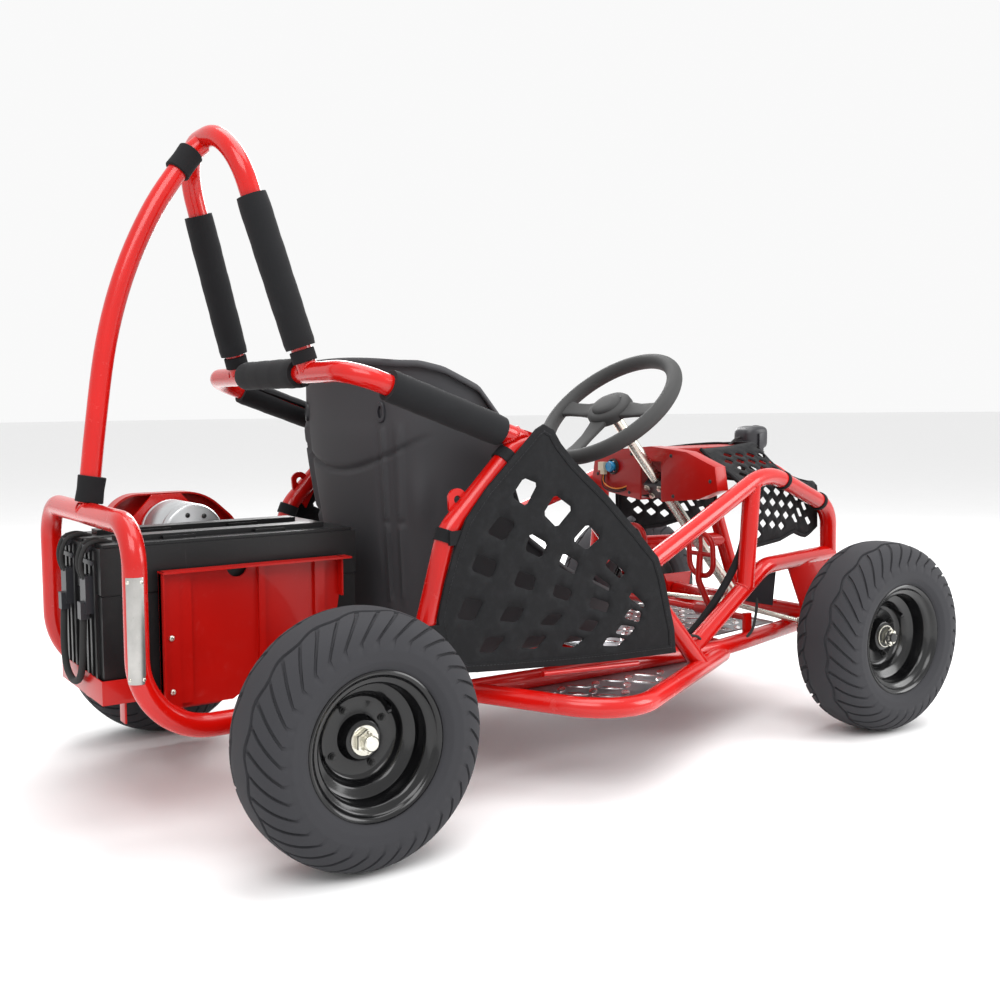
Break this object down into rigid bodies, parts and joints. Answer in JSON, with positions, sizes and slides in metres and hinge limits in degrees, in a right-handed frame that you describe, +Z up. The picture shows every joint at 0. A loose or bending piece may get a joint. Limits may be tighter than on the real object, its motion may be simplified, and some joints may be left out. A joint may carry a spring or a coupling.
{
  "type": "kart chassis",
  "caption": "Off-road electric kart chassis: welded tube frame, roll hoop, bucket seat, battery cases, chain drive, steering, four wheels and side nets.",
  "frame": {"origin": "on the ground, on the centre line, midway between the rear hoop and the front of the front tyres", "axes": "+X to the driver's right, +Y forward, +Z up"},
  "size_m": [0.848, 1.4944, 0.9829],
  "materials": {
    "frame_red": "gloss powder coat",
    "sheet_red": "gloss powder coat on folded sheet",
    "grip_rubber": "matt rubber",
    "checker_plate": "bright tread plate",
    "battery_plastic": "moulded, satin",
    "cell_pack": "shrink-wrapped cells",
    "cable_black": "insulated lead",
    "motor_alloy": "cast and machined",
    "zinc_steel": "zinc plated",
    "chain_steel": "oiled",
    "black_metal": "black paint",
    "tyre_rubber": "matt with soft sheen",
    "rim_black": "gloss black",
    "wheel_grip": "textured grip",
    "black_plastic": "satin",
    "button_blue": "glossy cap",
    "seat_plastic": "blow moulded, satin",
    "foam": "fabric-faced foam",
    "net_fabric": "woven nylon"
  },
  "bodies": {
    "chassis": {"lower_frame": "frame_red", "rear_hoop": "frame_red", "roll_hoop": "frame_red", "roll_spine": "frame_red", "shoulder_bar": "frame_red", "side_frame_right": "frame_red", "front_frame_right": "frame_red", "side_frame_left": "frame_red", "front_frame_left": "frame_red", "spine_collar_rear": "grip_rubber", "spine_collar_top": "grip_rubber", "floor_plate": "checker_plate", "step_plate_right": "checker_plate", "step_plate_left": "checker_plate", "battery_case_right": "battery_plastic", "battery_pack_right": "cell_pack", "battery_case_left": "battery_plastic", "battery_pack_left": "cell_pack", "battery_tray": "sheet_red", "battery_bracket": "sheet_red", "battery_cable": "cable_black", "motor": "motor_alloy", "chain": "chain_steel", "chain_guard": "sheet_red", "controller": "motor_alloy", "brake_caliper": "black_metal", "front_axle_beam": "frame_red", "column_block": "black_plastic", "dash_panel": "sheet_red", "headlamp": "black_plastic", "seat_shell": "seat_plastic", "roll_pad_right": "foam", "shoulder_pad_right": "foam", "roll_pad_left": "foam", "shoulder_pad_left": "foam", "crossbar_pad": "foam", "side_net_right": "net_fabric", "side_net_left": "net_fabric", "hood_net": "net_fabric"},
    "rear_axle_set": {"rear_axle": "zinc_steel", "axle_sprocket": "zinc_steel", "brake_disc": "zinc_steel", "tyre_rear_right": "tyre_rubber", "rim_rear_right": "rim_black", "tyre_rear_left": "tyre_rubber", "rim_rear_left": "rim_black"},
    "motor_rotor": {"motor_sprocket": "zinc_steel"},
    "steering": {"steering_column": "zinc_steel", "steering_wheel": "wheel_grip"},
    "knuckle_set_right": {"knuckle_right": "black_metal"},
    "knuckle_set_left": {"knuckle_left": "black_metal"},
    "front_wheel_right": {"tyre_front_right": "tyre_rubber", "rim_front_right": "rim_black"},
    "front_wheel_left": {"tyre_front_left": "tyre_rubber", "rim_front_left": "rim_black"},
    "tie_rod_set_right": {"tie_rod_right": "zinc_steel"},
    "tie_rod_set_left": {"tie_rod_left": "zinc_steel"},
    "throttle": {"throttle_pedal": "sheet_red"},
    "brake": {"brake_pedal": "sheet_red"},
    "button": {"power_button": "button_blue"}
  },
  "joints": [
    {"name": "rear_axle_spin", "type": "hinge", "parent": "chassis", "child": "rear_axle_set", "pos_m": [0, -0.48631, 0.165], "axis": [1, 0, 0], "continuous": true},
    {"name": "motor_spin", "type": "hinge", "parent": "chassis", "child": "motor_rotor", "pos_m": [-0.245, -0.51631, 0.375], "axis": [1, 0, 0], "continuous": true},
    {"name": "steer_column", "type": "hinge", "parent": "chassis", "child": "steering", "pos_m": [0, 0.24669, 0.566], "axis": [0, -0.6587, 0.7524], "range_deg": [-43.6, 43.6]},
    {"name": "steer_knuckle_right", "type": "hinge", "parent": "chassis", "child": "knuckle_set_right", "pos_m": [0.215, 0.58469, 0.165], "axis": [0, 0, 1], "range_deg": [-25, 25]},
    {"name": "steer_knuckle_left", "type": "hinge", "parent": "chassis", "child": "knuckle_set_left", "pos_m": [-0.215, 0.58469, 0.165], "axis": [0, 0, 1], "range_deg": [-25, 25]},
    {"name": "tie_rod_swing_right", "type": "hinge", "parent": "knuckle_set_right", "child": "tie_rod_set_right", "pos_m": [0.209, 0.52269, 0.175], "axis": [0, 0, 1], "range_deg": [-25, 25]},
    {"name": "tie_rod_swing_left", "type": "hinge", "parent": "knuckle_set_left", "child": "tie_rod_set_left", "pos_m": [-0.209, 0.52269, 0.175], "axis": [0, 0, 1], "range_deg": [-25, 25]},
    {"name": "front_wheel_spin_right", "type": "hinge", "parent": "knuckle_set_right", "child": "front_wheel_right", "pos_m": [0.318, 0.58469, 0.165], "axis": [1, 0, 0], "continuous": true},
    {"name": "front_wheel_spin_left", "type": "hinge", "parent": "knuckle_set_left", "child": "front_wheel_left", "pos_m": [-0.318, 0.58469, 0.165], "axis": [1, 0, 0], "continuous": true},
    {"name": "throttle_press", "type": "hinge", "parent": "chassis", "child": "throttle", "pos_m": [0.088, 0.41869, 0.19], "axis": [-1, 0, 0], "range_deg": [0, 25], "stiffness_Nm_per_rad": 3, "springref_deg": -8.59},
    {"name": "brake_press", "type": "hinge", "parent": "chassis", "child": "brake", "pos_m": [-0.088, 0.41869, 0.19], "axis": [-1, 0, 0], "range_deg": [0, 25], "stiffness_Nm_per_rad": 3, "springref_deg": -8.59},
    {"name": "button_press", "type": "slide", "parent": "chassis", "child": "button", "axis": [0, 1, 0], "range_m": [0, 0.003], "stiffness_N_per_m": 300, "springref_m": -0.001}
  ],
  "couplings": [
    {"joint": "motor_spin", "follows": "rear_axle_spin", "ratio": 6.1818},
    {"joint": "steer_knuckle_right", "follows": "steer_column", "ratio": 0.57339},
    {"joint": "tie_rod_swing_right", "follows": "steer_column", "ratio": -0.57339},
    {"joint": "steer_knuckle_left", "follows": "steer_column", "ratio": 0.57339},
    {"joint": "tie_rod_swing_left", "follows": "steer_column", "ratio": -0.57339}
  ]
}
